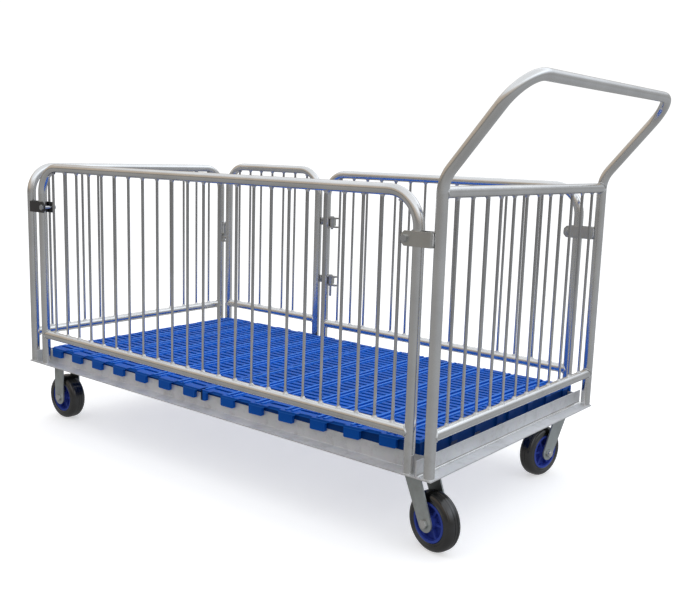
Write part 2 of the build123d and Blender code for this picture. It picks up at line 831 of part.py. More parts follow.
def hub(wheel):
    """A moulded hub: rim, web, boss and ribs, bored for the sleeve."""
    with BuildPart() as moulding:
        with BuildSketch(wheel):
            Circle(hub_r)
            Circle(hub_r - hub_rim_t, mode=Mode.SUBTRACT)
        extrude(amount=hub_width / 2, both=True)
        with BuildSketch(wheel):
            Circle(hub_r - hub_rim_t / 2)
        extrude(amount=hub_web_t / 2, both=True)
        with BuildSketch(wheel):
            Circle(hub_boss_r)
        extrude(amount=hub_boss_width / 2, both=True)
        with BuildSketch(wheel):
            with PolarLocations((hub_boss_r + hub_r - hub_rim_t) / 2, hub_rib_count):
                Rectangle(hub_r - hub_boss_r, hub_rib_t)
        extrude(amount=hub_rib_width / 2, both=True)
        with BuildSketch(wheel):
            Circle(spacer_r + bearing_play)
        extrude(amount=hub_boss_width, both=True, mode=Mode.SUBTRACT)
    return moulding.part


def tyre(wheel):
    """A round-shouldered rubber tyre with two grooves round the tread."""
    tread_r = wheel_d / 2
    with BuildPart() as rubber:
        with BuildSketch(Plane(wheel.origin, x_dir=wheel.x_dir, z_dir=-wheel.y_dir)) as section:
            with Locations(((hub_r + tread_r) / 2, 0)):
                Rectangle(tread_r - hub_r, tyre_width)
            fillet(section.vertices().sort_by(Axis.X)[-2:], tyre_shoulder_r)
            with Locations((tread_r, tyre_groove_spacing / 2), (tread_r, -tyre_groove_spacing / 2)):
                Rectangle(2 * tyre_groove_depth, tyre_groove_w, mode=Mode.SUBTRACT)
        revolve(axis=Axis(wheel.origin, wheel.z_dir))
    return rubber.part


# Casters: two fixed at the left end, two that swivel under the handle
fixed_leg_x = fixed_x - fixed_leg_shift
fixed_frames = {"near": caster_frame(fixed_leg_x, -caster_y, 0), "far": caster_frame(fixed_leg_x, caster_y, 0)}
swivel_frames = {
    "near": caster_frame(swivel_x, -caster_y, swivel_yaw_near),
    "far": caster_frame(swivel_x, caster_y, swivel_yaw_far),
}
plate_frames = [caster_frame(swivel_x, side * caster_y, 0) for side in (-1, 1)]

for side, frame in fixed_frames.items():
    save(fixed_fork(frame), f"fixed_fork_{side}")
    save(hub(wheel_frame(frame, 0)), f"fixed_hub_{side}")
    save(tyre(wheel_frame(frame, 0)), f"fixed_tyre_{side}")
fixed_wheels = [wheel_frame(frame, 0) for frame in fixed_frames.values()]
save(group([piece for wheel in fixed_wheels for piece in axle(wheel)]), "fixed_axles")
save(group([spacer(wheel) for wheel in fixed_wheels]), "fixed_axle_sleeves")

for side, frame in swivel_frames.items():
    wheel = wheel_frame(frame, swivel_trail)
    save(swivel_fork(frame), f"swivel_fork_{side}")
    save(group(axle(wheel)), f"swivel_axle_{side}")
    save(spacer(wheel), f"swivel_axle_sleeve_{side}")
    save(hub(wheel), f"swivel_hub_{side}")
    save(tyre(wheel), f"swivel_tyre_{side}")
save(group([swivel_plate(frame) for frame in plate_frames]), "swivel_plates")
save(group([kingpin(frame) for frame in plate_frames]), "swivel_kingpins")
save(group([bearing_balls(frame) for frame in plate_frames]), "swivel_bearing_balls")

# Bolts that hold the casters, their heads on the corner plates
caster_bolts = []
caster_nuts = []
for x, y in casters:
    for along in (-1, 1):
        for across in (-1, 1):
            bolt_x = x + along * plate_bolts_x / 2
            bolt_y = y + across * plate_bolts_y / 2
            shank = base_z - plate_bottom_z + nut_h + bolt_end
            seat = Plane((bolt_x, bolt_y, base_z))
            under = Plane((bolt_x, bolt_y, plate_bottom_z), z_dir=(0, 0, -1))
            caster_bolts.append(hex_bolt(seat, (shank, fastener_d), hex_across, bolt_head_h))
            caster_nuts.append(hex_nut(under, fastener_d, hex_across, nut_h))
save(group(caster_bolts), "caster_bolts")
save(group(caster_nuts), "caster_nuts")
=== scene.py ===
import json
import math
import random

import bpy
from mathutils import Matrix, Vector


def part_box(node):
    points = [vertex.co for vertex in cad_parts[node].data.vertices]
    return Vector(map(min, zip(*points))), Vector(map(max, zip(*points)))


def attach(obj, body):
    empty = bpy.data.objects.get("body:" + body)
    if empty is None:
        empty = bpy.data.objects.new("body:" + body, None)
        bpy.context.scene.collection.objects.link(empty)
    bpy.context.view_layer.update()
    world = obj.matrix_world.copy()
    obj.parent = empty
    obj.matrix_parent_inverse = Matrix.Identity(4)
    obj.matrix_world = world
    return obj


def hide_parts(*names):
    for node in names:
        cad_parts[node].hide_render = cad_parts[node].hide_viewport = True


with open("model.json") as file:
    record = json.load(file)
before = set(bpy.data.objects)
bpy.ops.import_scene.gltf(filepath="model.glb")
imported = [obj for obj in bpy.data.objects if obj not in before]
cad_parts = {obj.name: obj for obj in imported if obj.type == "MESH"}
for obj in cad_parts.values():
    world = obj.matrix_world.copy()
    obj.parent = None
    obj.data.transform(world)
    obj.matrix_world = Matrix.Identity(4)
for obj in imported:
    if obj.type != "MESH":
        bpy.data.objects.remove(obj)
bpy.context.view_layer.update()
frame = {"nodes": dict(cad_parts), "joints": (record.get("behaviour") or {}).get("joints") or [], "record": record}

bl_info = {
    "name": "Livestock transfer cart",
    "version": (1, 0, 0),
    "blender": (4, 5, 0),
    "location": "3D View > Sidebar > Cart",
    "description": "Finishes, welds, tyres and stage for a barred transfer cart",
    "category": "Object",
}


def middle(node):
    """The middle of a frame node's box."""
    low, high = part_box(node)
    return (low + high) / 2


NODES = frame["nodes"]
BODY_OF = {node: body for body, nodes in frame["record"]["behaviour"]["bodies"].items() for node in nodes}
SPIN_OF = {joint["child"]: joint for joint in frame["joints"]}
WHEEL_BODIES = ("fixed_wheel_near", "fixed_wheel_far", "swivel_wheel_near", "swivel_wheel_far")
UP = Vector((0, 0, 1))

# Barred panels: name, and axis along the panel, 0 for X and 1 for Y
PANELS = (("front", 0), ("left_end", 1), ("handle_end", 1), ("back", 0), ("gate", 0))

# Places and thicknesses read from the frame, in metres. LEG_FACE is how far the outer faces of the long rails'
# legs lie from the cart's middle, and END_FACE is the floor's end by the handle
RAIL_LOW, RAIL_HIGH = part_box("front_lower_rail")
TUBE_R = (RAIL_HIGH.z - RAIL_LOW.z) / 2
ROD_LOW, ROD_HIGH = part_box("front_bars")
ROD_R = (ROD_HIGH.y - ROD_LOW.y) / 2
BASE_LOW, BASE_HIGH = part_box("base_rail_near")
FLANGE_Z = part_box("front_hoop")[0].z
ANGLE_THICK = FLANGE_Z - BASE_LOW.z
LEG_FACE = ANGLE_THICK - BASE_HIGH.y
FLOOR_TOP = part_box("floor_panel_left")[1].z
END_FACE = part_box("floor_panel_handle_end")[1].x
SEAM_X = (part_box("floor_panel_left")[1].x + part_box("floor_panel_handle_end")[0].x) / 2
SIDE_Y = -middle("front_lower_rail").y
LEFT_X = middle("left_end_lower_rail").x
HANDLE_X = middle("handle_end_lower_rail").x

# Tones that dirt, heat and wear give, and painted shade and painted light, as linear colours
DIRT = (0.22, 0.205, 0.18, 1.0)
# Painted shade laid in crevices and between close parts
PAINTED_CREVICE_SHADE = (0.045, 0.048, 0.048, 1.0)
HEATED = (0.30, 0.285, 0.27, 1.0)
# Painted shade that darkens the rods towards the top
PAINTED_TOP_SHADE = (0.70, 0.70, 0.71, 1.0)
SCUFFED = (0.075, 0.19, 0.56, 1.0)
LIT_RIB = (0.045, 0.22, 0.78, 1.0)
BLUE_GLOSS = (0.30, 0.55, 1.0, 1.0)
TYRE_DUST = (0.040, 0.038, 0.036, 1.0)
WELD_STAIN = (0.30, 0.27, 0.23, 1.0)

# Where a tone begins and where it is full, in metres: heights over the ground, distances from a rod's ends,
# depths below the tops of the floor's slats, and places across and along the floor
DIRT_HEIGHT = (0.30, 0.17)
ROD_DARKENS = (0.07, 0.24)
HEAT_LOW = (0.030, 0.006)
HEAT_HIGH = (0.034, 0.006)
SCUFF_DEPTH = (0.0012, 0.0002)
# Depths over which dust and painted shade thicken between the slats
DUST_AND_SHADE_DEPTH = (0.004, 0.022)
LIP_DEPTH = (0.0055, 0.0070)
RIB_DEPTH = (0.0014, 0.0008)
GROOVE_BOTTOM = (0.0078, 0.0074)
GROOVE_TOP = (0.0062, 0.0066)
SEAM_DEPTH = (0.0028, 0.0034)
SEAM_REACH = (0.0064, 0.0056)
SIDE_WALL = (LEG_FACE - 0.008, LEG_FACE - 0.006)
INSIDE_LEG = (LEG_FACE + 0.0006, LEG_FACE + 0.0002)
END_WALL = (END_FACE - 0.016, END_FACE - 0.014)

# Scales of drawn-out patterns along X, Y and Z
SCRATCH_STRETCH = (900.0, 900.0, 35.0)
DRAG_STRETCH = (60.0, 900.0, 60.0)

# The middle stretch of a noise, over which a cloud goes from none to full
CLOUD = (0.3, 0.7)

# The room's light on the picture's left and right, by height from straight down at 0 to straight up at 1
LEFT_LIGHT = (
    (0.0, (0.120, 0.119, 0.118)), (0.43, (0.160, 0.159, 0.158)), (0.48, (0.125, 0.123, 0.120)),
    (0.53, (0.085, 0.083, 0.080)), (0.60, (0.245, 0.208, 0.170)), (0.74, (0.262, 0.228, 0.192)),
    (0.81, (0.370, 0.378, 0.390)), (0.91, (0.400, 0.410, 0.425)),
)
RIGHT_LIGHT = (
    (0.0, (0.150, 0.151, 0.152)), (0.42, (0.183, 0.189, 0.198)), (0.50, (0.165, 0.167, 0.170)),
    (0.62, (0.195, 0.199, 0.204)), (0.70, (0.390, 0.413, 0.445)), (0.80, (0.645, 0.683, 0.735)),
    (0.93, (0.450, 0.463, 0.480)),
)
SIDE_BLEND = 0.8
BACKDROP = (0.53, 0.53, 0.53, 1.0)

# Distance in metres at which doubled points merge, and angles in degrees: faces this level are joined, edges
# this sharp are rounded, and edges this blunt are shaded smooth
MERGE = 0.00001
LEVEL = 0.6
SHARP = 38.0
BLUNT = 32.0


class CartFinish(bpy.types.PropertyGroup):
    """Colours of the cart's finishes."""

    tube: bpy.props.FloatVectorProperty(
        name="Tube zinc", description="Colour of the galvanised tubes", subtype="COLOR",
        size=3, min=0.0, max=1.0, default=(0.83, 0.83, 0.82),
    )
    rod: bpy.props.FloatVectorProperty(
        name="Rod zinc", description="Colour of the galvanised rods", subtype="COLOR",
        size=3, min=0.0, max=1.0, default=(0.78, 0.78, 0.77),
    )
    angle: bpy.props.FloatVectorProperty(
        name="Angle zinc", description="Colour of the galvanised base", subtype="COLOR",
        size=3, min=0.0, max=1.0, default=(0.80, 0.81, 0.83),
    )
    plate: bpy.props.FloatVectorProperty(
        name="Plated steel", description="Colour of the zinc-plated forks and caster plates", subtype="COLOR",
        size=3, min=0.0, max=1.0, default=(0.53, 0.575, 0.575),
    )
    # The near left clip's zinc, darkened as painted shade
    dull: bpy.props.FloatVectorProperty(
        name="Dull clip", description="Darkened zinc of the near left corner clip", subtype="COLOR",
        size=3, min=0.0, max=1.0, default=(0.12, 0.12, 0.122),
    )
    strap: bpy.props.FloatVectorProperty(
        name="Strap zinc", description="Colour of the other clips, the hinges and the latch", subtype="COLOR",
        size=3, min=0.0, max=1.0, default=(0.62, 0.62, 0.595),
    )
    bolt: bpy.props.FloatVectorProperty(
        name="Bolt zinc", description="Colour of the bright fasteners", subtype="COLOR",
        size=3, min=0.0, max=1.0, default=(0.64, 0.655, 0.67),
    )
    weld: bpy.props.FloatVectorProperty(
        name="Weld zinc", description="Colour of the zinc paint on the welds", subtype="COLOR",
        size=3, min=0.0, max=1.0, default=(0.84, 0.85, 0.86),
    )
    floor: bpy.props.FloatVectorProperty(
        name="Floor blue", description="Colour of the slatted plastic floor", subtype="COLOR",
        size=3, min=0.0, max=1.0, default=(0.003, 0.106, 0.545),
    )
    hub: bpy.props.FloatVectorProperty(
        name="Hub blue", description="Colour of the wheel hubs", subtype="COLOR",
        size=3, min=0.0, max=1.0, default=(0.052, 0.090, 0.48),
    )
    rubber: bpy.props.FloatVectorProperty(
        name="Tyre rubber", description="Colour of the tyres", subtype="COLOR",
        size=3, min=0.0, max=1.0, default=(0.004, 0.004, 0.004),
    )


class CartSizes(bpy.types.PropertyGroup):
    """Sizes of the pieces modelled here."""

    bend: bpy.props.FloatProperty(
        name="Bend radius", description="Radius of the tubes' bends at their middle",
        default=0.068, min=0.02, unit="LENGTH",
    )
    rod_bead: bpy.props.FloatProperty(
        name="Rod weld", description="Thickness of the weld round a rod",
        default=0.0036, min=0.001, unit="LENGTH",
    )
    tube_bead: bpy.props.FloatProperty(
        name="Tube weld", description="Thickness of the weld round a tube",
        default=0.0034, min=0.001, unit="LENGTH",
    )
    seam_bead: bpy.props.FloatProperty(
        name="Seam weld", description="Thickness of a straight weld",
        default=0.0044, min=0.001, unit="LENGTH",
    )
    edge: bpy.props.FloatProperty(
        name="Edge rounding", description="Rounding of the sheared steel edges",
        default=0.0008, min=0.0, unit="LENGTH",
    )
    root: bpy.props.FloatProperty(
        name="Angle root", description="Rounding inside the end rails, between leg and flange",
        default=0.0045, min=0.001, unit="LENGTH",
    )
    moulded_edge: bpy.props.FloatProperty(
        name="Moulded rounding", description="Rounding of the plastic edges",
        default=0.0007, min=0.0, unit="LENGTH",
    )
    bow_near: bpy.props.FloatProperty(
        name="Panel bow, near", description="Rise of the bowed floor panel at its near corner by the handle",
        default=0.0185, min=0.0, unit="LENGTH",
    )
    bow_far: bpy.props.FloatProperty(
        name="Panel bow, far", description="Rise of the bowed floor panel at its far corner by the handle",
        default=0.002, min=0.0, unit="LENGTH",
    )
    groove: bpy.props.FloatProperty(
        name="Tyre groove", description="Depth of the grooves round a tyre",
        default=0.0008, min=0.0, unit="LENGTH",
    )


class CartStage(bpy.types.PropertyGroup):
    """Camera, floor and light."""

    camera_place: bpy.props.FloatVectorProperty(
        name="Camera", description="Where the camera stands", subtype="TRANSLATION", unit="LENGTH",
        size=3, default=(1.4205, -1.646, 0.754),
    )
    camera_forward: bpy.props.FloatVectorProperty(
        name="Looks along", description="Direction that the camera looks in", subtype="DIRECTION",
        size=3, default=(-0.6161753, 0.76987584, -0.16619026),
    )
    camera_right: bpy.props.FloatVectorProperty(
        name="Right hand", description="Direction of the picture's right", subtype="DIRECTION",
        size=3, default=(0.77705594, 0.62865764, 0.03120309),
    )
    lens: bpy.props.FloatProperty(
        name="Lens", description="Focal length on a 36 mm wide sensor", default=45.21, unit="CAMERA",
    )
    floor_colour: bpy.props.FloatVectorProperty(
        name="Studio floor", description="Colour of the studio floor", subtype="COLOR",
        size=3, min=0.0, max=1.0, default=(0.74, 0.74, 0.74),
    )
    sky: bpy.props.FloatProperty(
        name="Room light", description="Strength of the light from all round", default=2.0, min=0.0,
    )
    floor_glow: bpy.props.FloatProperty(
        name="Floor glow", description="Light added to the studio floor so that it runs into the backdrop",
        default=0.70, min=0.0,
    )
    top_light: bpy.props.FloatProperty(
        name="Top light", description="Power of the softbox overhead", default=28.0, min=0.0, unit="POWER",
    )


class Graph:
    """A node tree being made, and short ways to add nodes to it."""

    def __init__(self, tree):
        self.tree = tree

    def add(self, kind, inputs=None, **options):
        """A new node with its settings, and its inputs by name."""
        made = self.tree.nodes.new("ShaderNode" + kind)
        for name, value in options.items():
            setattr(made, name, value)
        for name, value in (inputs or {}).items():
            self.feed(made.inputs[name], value)
        return made

    def feed(self, socket, value):
        """Link a node's output to an input, or set a constant on it."""
        if isinstance(value, bpy.types.NodeSocket):
            self.tree.links.new(value, socket)
        else:
            socket.default_value = value

    def maths(self, operation, first, second=0.0):
        made = self.add("Math", operation=operation)
        self.feed(made.inputs[0], first)
        self.feed(made.inputs[1], second)
        return made.outputs[0]

    def plus(self, first, second):
        return self.maths("ADD", first, second)

    def minus(self, first, second):
        return self.maths("SUBTRACT", first, second)

    def times(self, first, second):
        return self.maths("MULTIPLY", first, second)

    def larger(self, first, second):
        return self.maths("MAXIMUM", first, second)

    def spread(self, value, source, target=(0.0, 1.0)):
        """A value taken from one range to another, and kept inside it."""
        inputs = {"Value": value, "From Min": source[0], "From Max": source[1]}
        inputs.update({"To Min": target[0], "To Max": target[1]})
        return self.add("MapRange", inputs).outputs["Result"]

    def mix(self, share, first, second, kind="MIX"):
        """Two colours mixed by the second one's share."""
        made = self.add("Mix", {"Factor": share}, data_type="RGBA", blend_type=kind)
        self.feed(made.inputs[6], first)
        self.feed(made.inputs[7], second)
        return made.outputs[2]


class Finish(Graph):
    """A material being made, its patterns laid on the piece's coordinates or on places kept in its mesh."""

    def __init__(self, name, attribute=None):
        self.material = bpy.data.materials.new(name)
        self.material.use_nodes = True
        super().__init__(self.material.node_tree)
        self.shader = self.tree.nodes["Principled BSDF"]
        if attribute is None:
            self.place = self.add("TexCoord").outputs["Object"]
        else:
            self.place = self.add("Attribute", attribute_name=attribute).outputs["Vector"]

    def set(self, **values):
        """Set or link inputs of the shader."""
        for name, value in values.items():
            self.feed(self.shader.inputs[name.replace("_", " ")], value)

    def axis(self, name):
        """How far along X, Y or Z a point lies."""
        return self.add("SeparateXYZ", {"Vector": self.place}).outputs[name]

    def mapped(self, stretch):
        """Coordinates for a pattern that is drawn out."""
        return self.add("Mapping", {"Vector": self.place, "Scale": stretch}).outputs["Vector"]

    def noise(self, scale, detail=4.0, rough=0.5, vector=None):
        inputs = {"Vector": vector or self.place, "Scale": scale, "Detail": detail, "Roughness": rough}
        return self.add("TexNoise", inputs).outputs["Fac"]

    def cells(self, scale):
        return self.add("TexVoronoi", {"Vector": self.place, "Scale": scale}).outputs["Color"]

    def bump(self, height, strength, distance):
        inputs = {"Height": height, "Strength": strength, "Distance": distance}
        self.set(Normal=self.add("Bump", inputs).outputs["Normal"])


def shade(colour, factor):
    """A colour made lighter or darker, with its alpha."""
    return tuple(min(1.0, c * factor) for c in colour) + (1.0,)


def zinc(name, colour, clouds, spangles, spangle, rough, metal=1.0, shade_reach=0.0):
    """Zinc on steel: clouded, spangled and scratched, dirty low down, and darkened with painted shade where faces
    close by hem it in.
    """
    f = Finish(name)
    cloud = f.noise(clouds, detail=6.0, rough=0.6)
    fine = f.noise(clouds * 14, detail=3.0)
    tone = f.mix(f.spread(cloud, CLOUD), shade(colour, 0.92), shade(colour, 1.07))
    tone = f.mix(spangle, tone, f.cells(spangles), "SOFT_LIGHT")
    scratch = f.noise(1.0, detail=2.0, vector=f.mapped(SCRATCH_STRETCH))
    tone = f.mix(f.spread(scratch, (0.66, 0.74), (0.0, 0.22)), tone, shade(colour, 1.25))
    patches = f.spread(f.noise(38.0, detail=5.0, rough=0.7), (0.50, 0.74), (0.0, 0.30))
    dirt = f.times(f.spread(f.axis("Z"), DIRT_HEIGHT), patches)
    tone = f.mix(dirt, tone, DIRT)
    # Painted shade: darker where ambient occlusion finds faces close by
    if shade_reach:
        open_sky = f.add("AmbientOcclusion", {"Distance": shade_reach}, samples=8).outputs["AO"]
        tone = f.mix(f.spread(open_sky, (0.75, 0.25), (0.0, 0.85)), tone, PAINTED_CREVICE_SHADE)
    gloss = f.spread(f.plus(cloud, f.times(fine, 0.35)), (0.35, 1.0), rough)
    f.set(Base_Color=tone, Metallic=metal, Roughness=f.plus(gloss, f.times(dirt, 0.25)))
    f.bump(f.plus(fine, f.times(scratch, 0.4)), strength=0.02, distance=0.0004)
    return f


def rod_zinc(name, colour, low_z, high_z):
    """Zinc on the rods, darkened towards the top with painted shade, and a little tinted by heat close to the
    welds.
    """
    f = zinc(name, colour, clouds=26.0, spangles=240.0, spangle=0.04, rough=(0.12, 0.20))
    tone = f.shader.inputs["Base Color"].links[0].from_socket
    above = f.minus(f.axis("Z"), low_z)
    below = f.minus(high_z, f.axis("Z"))
    # Painted shade: each rod grows darker from its foot towards its top
    tone = f.mix(f.spread(above, ROD_DARKENS), tone, PAINTED_TOP_SHADE, "MULTIPLY")
    near_weld = f.larger(f.spread(above, HEAT_LOW), f.spread(below, HEAT_HIGH))
    heat = f.times(near_weld, f.spread(f.noise(60.0), CLOUD, (0.05, 0.25)))
    f.set(Base_Color=f.mix(heat, tone, HEATED))
    return f


def floor_wear(f, tone, colour, cloud, depth):
    """Pale scuffs on the tops of the slats, and dust with painted shade deeper down between them: the new tone,
    and the scuffs' share.
    """
    patch = f.spread(f.noise(22.0, detail=6.0, rough=0.75), (0.44, 0.70), (0.10, 0.35))
    drag = f.noise(1.0, detail=3.0, rough=0.6, vector=f.mapped(DRAG_STRETCH))
    scuff = f.times(f.spread(depth, SCUFF_DEPTH), f.larger(patch, f.spread(drag, (0.60, 0.72), (0.0, 0.35))))
    tone = f.mix(scuff, tone, SCUFFED)
    # Dust and painted shade: darker deeper down between the slats
    dust = f.times(f.spread(depth, DUST_AND_SHADE_DEPTH), f.spread(cloud, (0.35, 0.7), (0.1, 0.5)))
    return f.mix(dust, tone, shade(colour, 0.70)), scuff


def floor_relief(f, tone, colour, depth):
    """Shade under the lips of the walls and in the seam between panels, and light on ribs and in grooves."""
    off_centre = f.maths("ABSOLUTE", f.axis("Y"))
    wall = f.larger(f.spread(off_centre, SIDE_WALL), f.spread(f.axis("X"), END_WALL))
    under_lip = f.times(f.spread(depth, LIP_DEPTH), f.spread(off_centre, INSIDE_LEG))
    tone = f.mix(f.times(under_lip, wall), tone, shade(colour, 0.40))
    rib_top = f.spread(depth, RIB_DEPTH, (0.0, 0.75))
    groove = f.times(f.spread(depth, GROOVE_BOTTOM, (0.0, 0.6)), f.spread(depth, GROOVE_TOP))
    tone = f.mix(f.larger(rib_top, groove), tone, LIT_RIB)
    off_seam = f.maths("ABSOLUTE", f.minus(f.axis("X"), SEAM_X))
    in_seam = f.times(f.spread(off_seam, SEAM_REACH), f.spread(depth, SEAM_DEPTH))
    return f.mix(in_seam, tone, shade(colour, 0.10))


def moulded(name, colour, grain, rough, floor_top=None, attribute=None):
    """Moulded plastic: slightly uneven and finely grained, worn and shaded where it is the slatted floor."""
    f = Finish(name, attribute)
    cloud = f.noise(7.0, detail=5.0, rough=0.6)
    fine = f.noise(grain, detail=2.0)
    tone = f.mix(f.spread(cloud, CLOUD), shade(colour, 0.86), shade(colour, 1.16))
    gloss = f.spread(f.plus(cloud, f.times(fine, 0.4)), (0.4, 1.1), rough)
    if floor_top is not None:
        depth = f.minus(floor_top, f.axis("Z"))
        tone, scuff = floor_wear(f, tone, colour, cloud, depth)
        tone = floor_relief(f, tone, colour, depth)
        gloss = f.plus(gloss, f.times(scuff, 0.3))
    f.set(Base_Color=tone, Roughness=gloss, IOR=1.49, Specular_IOR_Level=0.20, Specular_Tint=BLUE_GLOSS)
    f.bump(fine, strength=0.10, distance=0.0004)
    return f


def tyre_rubber(name, colour):
    """Glossy black rubber with dusty patches and a fine mould grain."""
    f = Finish(name)
    cloud = f.noise(34.0, detail=6.0, rough=0.65)
    fine = f.noise(900.0, detail=2.0)
    dust = f.times(f.spread(cloud, (0.42, 0.72)), f.spread(f.noise(160.0, detail=3.0), CLOUD, (0.3, 1.0)))
    tone = f.mix(f.times(dust, 0.35), shade(colour, 1.0), TYRE_DUST)
    f.set(Base_Color=tone, Roughness=f.spread(cloud, CLOUD, (0.14, 0.26)), IOR=1.62, Specular_IOR_Level=0.85)
    f.bump(f.plus(fine, f.times(cloud, 0.6)), strength=0.12, distance=0.0005)
    return f


def weld_zinc(name, colour):
    """Zinc paint over a weld, rough and slightly stained."""
    f = Finish(name)
    cloud = f.noise(120.0, detail=5.0, rough=0.6)
    fine = f.noise(700.0, detail=3.0)
    tone = f.mix(f.spread(cloud, (0.35, 0.7)), shade(colour, 0.72), shade(colour, 1.08))
    tone = f.mix(f.spread(f.noise(50.0), (0.62, 0.75), (0.0, 0.2)), tone, WELD_STAIN)
    f.set(Base_Color=tone, Metallic=0.45, Roughness=f.spread(fine, CLOUD, (0.30, 0.46)))
    f.bump(f.plus(fine, cloud), strength=0.25, distance=0.0006)
    return f


FINISHES = {}
MOULD = "place_in_mould"


def make_finishes(colours):
    """Make every finish once."""
    FINISHES.update({
        "tube": zinc("tube_zinc", colours.tube, 13.0, 170.0, spangle=0.03, rough=(0.14, 0.22)),
        "rod": rod_zinc("rod_zinc", colours.rod, ROD_LOW.z, ROD_HIGH.z),
        "angle": zinc("angle_zinc", colours.angle, 7.0, 95.0, spangle=0.06, rough=(0.34, 0.46), metal=0.5),
        # The forks and caster plates get painted shade in their crevices
        "plate": zinc(
            "plate_zinc", colours.plate, 30.0, 420.0, spangle=0.05, rough=(0.40, 0.52),
            metal=0.6, shade_reach=0.07,
        ),
        "strap": zinc("strap_zinc", colours.strap, 24.0, 300.0, spangle=0.04, rough=(0.30, 0.42)),
        # Painted shade: a darker copy of the strap zinc for the near left clip
        "dull": zinc("dull_zinc", colours.dull, 24.0, 300.0, spangle=0.05, rough=(0.34, 0.48)),
        "bolt": zinc("bolt_zinc", colours.bolt, 60.0, 500.0, spangle=0.05, rough=(0.24, 0.38)),
        "weld": weld_zinc("weld_zinc", colours.weld),
        "floor": moulded("floor_blue", colours.floor, 1400.0, (0.34, 0.52), FLOOR_TOP, MOULD),
        "hub": moulded("hub_blue", colours.hub, 1700.0, (0.28, 0.42)),
        "rubber": tyre_rubber("tyre_rubber_black", colours.rubber),
    })


def dress(obj, finish):
    """Give an object one finish and nothing else."""
    obj.data.materials.clear()
    obj.data.materials.append(FINISHES[finish].material)


def pick(obj):
    """Make one object the only selected one, and the active one."""
    bpy.ops.object.select_all(action="DESELECT")
    obj.select_set(True)
    bpy.context.view_layer.objects.active = obj


def start(add, **options):
    """A new primitive with nothing else selected."""
    bpy.ops.object.select_all(action="DESELECT")
    add(**options)
    return bpy.context.object


def edit(obj, mode="VERT"):
    """Open an object in edit mode with everything selected."""
    pick(obj)
    bpy.ops.object.mode_set(mode="EDIT")
    bpy.ops.mesh.select_mode(type=mode)
    bpy.ops.mesh.select_all(action="SELECT")


def leave():
    """Go back to object mode."""
    bpy.ops.object.mode_set(mode="OBJECT")


def apply_modifier(obj, kind, **options):
    """Add one modifier with its settings and apply it."""
    pick(obj)
    made = obj.modifiers.new(kind.title(), kind)
    for name, value in options.items():
        setattr(made, name, value)
    bpy.ops.object.modifier_apply(modifier=made.name)


def smooth(obj, angle):
    """Smooth shading over edges flatter than an angle in degrees."""
    pick(obj)
    bpy.ops.object.shade_smooth_by_angle(angle=math.radians(angle))


def settle(obj):
    """Put an object's place, turn and size into its mesh."""
    pick(obj)
    bpy.ops.object.transform_apply(location=True, rotation=True, scale=True)


def finish_piece(obj, name, body, finish, slot, *nodes):
    """Name a piece, dress it, tie it to its body and hide the nodes it stands for; its slot is not used."""
    obj.name = name
    obj.data.name = name
    dress(obj, finish)
    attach(obj, body)
    if nodes:
        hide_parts(*nodes)


def placed_copies(master, matrices):
    """Copies of a modelled piece, each with its own mesh at its place, joined into one object."""
    copies = []
    for matrix in matrices:
        mesh = master.data.copy()
        mesh.transform(matrix)
        twin = bpy.data.objects.new(master.name + "_copy", mesh)
        bpy.context.scene.collection.objects.link(twin)
        copies.append(twin)
    bpy.ops.object.select_all(action="DESELECT")
    for twin in copies:
        twin.select_set(True)
    bpy.context.view_layer.objects.active = copies[0]
    if len(copies) > 1:
        bpy.ops.object.join()
    return bpy.context.view_layer.objects.active


def discard(obj):
    """Delete a master piece that has been copied."""
    pick(obj)
    bpy.ops.object.delete()


def axes_matrix(x_axis, y_axis, z_axis, place):
    """A placing matrix from three directions and a point."""
    turn = Matrix((x_axis, y_axis, z_axis)).transposed()
    return Matrix.Translation(place) @ turn.to_4x4()


# Angle in degrees up to which a weld's shading is smooth
WELD_SMOOTH = 60.0
# Rings of a rod weld, as rise and stand-off in shares of its thickness
ROD_WELD = ((0.0, 0.75), (0.42, 0.30), (1.12, 0.02))
# Least and most stretch of a rod weld's copies along X, Y and Z
ROD_WELD_STRETCH = ((0.92, 1.12), (0.92, 1.10), (0.85, 1.35))
# Sine of the steepest slope that a rod weld follows on a bend
STEEPEST = 0.99


def finish_bead(bead, height, grain):
    """Make a weld lumpy with a cloud of small bumps, and smooth its shading."""
    lumps = bpy.data.textures.new("weld_lumps", "CLOUDS")
    lumps.noise_scale = grain
    apply_modifier(bead, "DISPLACE", texture=lumps, strength=height, mid_level=0.5, texture_coords="LOCAL")
    smooth(bead, WELD_SMOOTH)
    return bead


def rod_bead(size):
    """One flared weld round a rod that stands up Z on a tube along X, whose top is at the origin."""
    bead = start(bpy.ops.mesh.primitive_circle_add, vertices=12, radius=ROD_R + size * ROD_WELD[0][1])
    edit(bead)
    for (rise, flare), (next_rise, next_flare) in zip(ROD_WELD, ROD_WELD[1:]):
        step = (0, 0, size * (next_rise - rise))
        bpy.ops.mesh.extrude_region_move(TRANSFORM_OT_translate={"value": step})
        narrow = (ROD_R + size * next_flare) / (ROD_R + size * flare)
        bpy.ops.transform.resize(value=(narrow, narrow, 1.0), center_override=(0, 0, 0))
    bpy.ops.mesh.select_all(action="SELECT")
    bpy.ops.mesh.normals_make_consistent(inside=False)
    leave()
    for v in bead.data.vertices:
        v.co.z -= v.co.y ** 2 / (2 * TUBE_R)
    return finish_bead(bead, height=size * 0.22, grain=size * 0.8)


def tee_bead(size):
    """One weld where a tube along +X ends against a post of its own size that stands up Z at the origin."""
    bead = start(
        bpy.ops.mesh.primitive_torus_add, rotation=(0, math.pi / 2, 0),
        major_radius=TUBE_R + size * 0.10, minor_radius=size / 2, major_segments=28, minor_segments=6,
    )
    settle(bead)
    for v in bead.data.vertices:
        v.co.x += math.hypot(v.co.z, size / 2)
    return finish_bead(bead, height=size * 0.30, grain=size * 0.9)


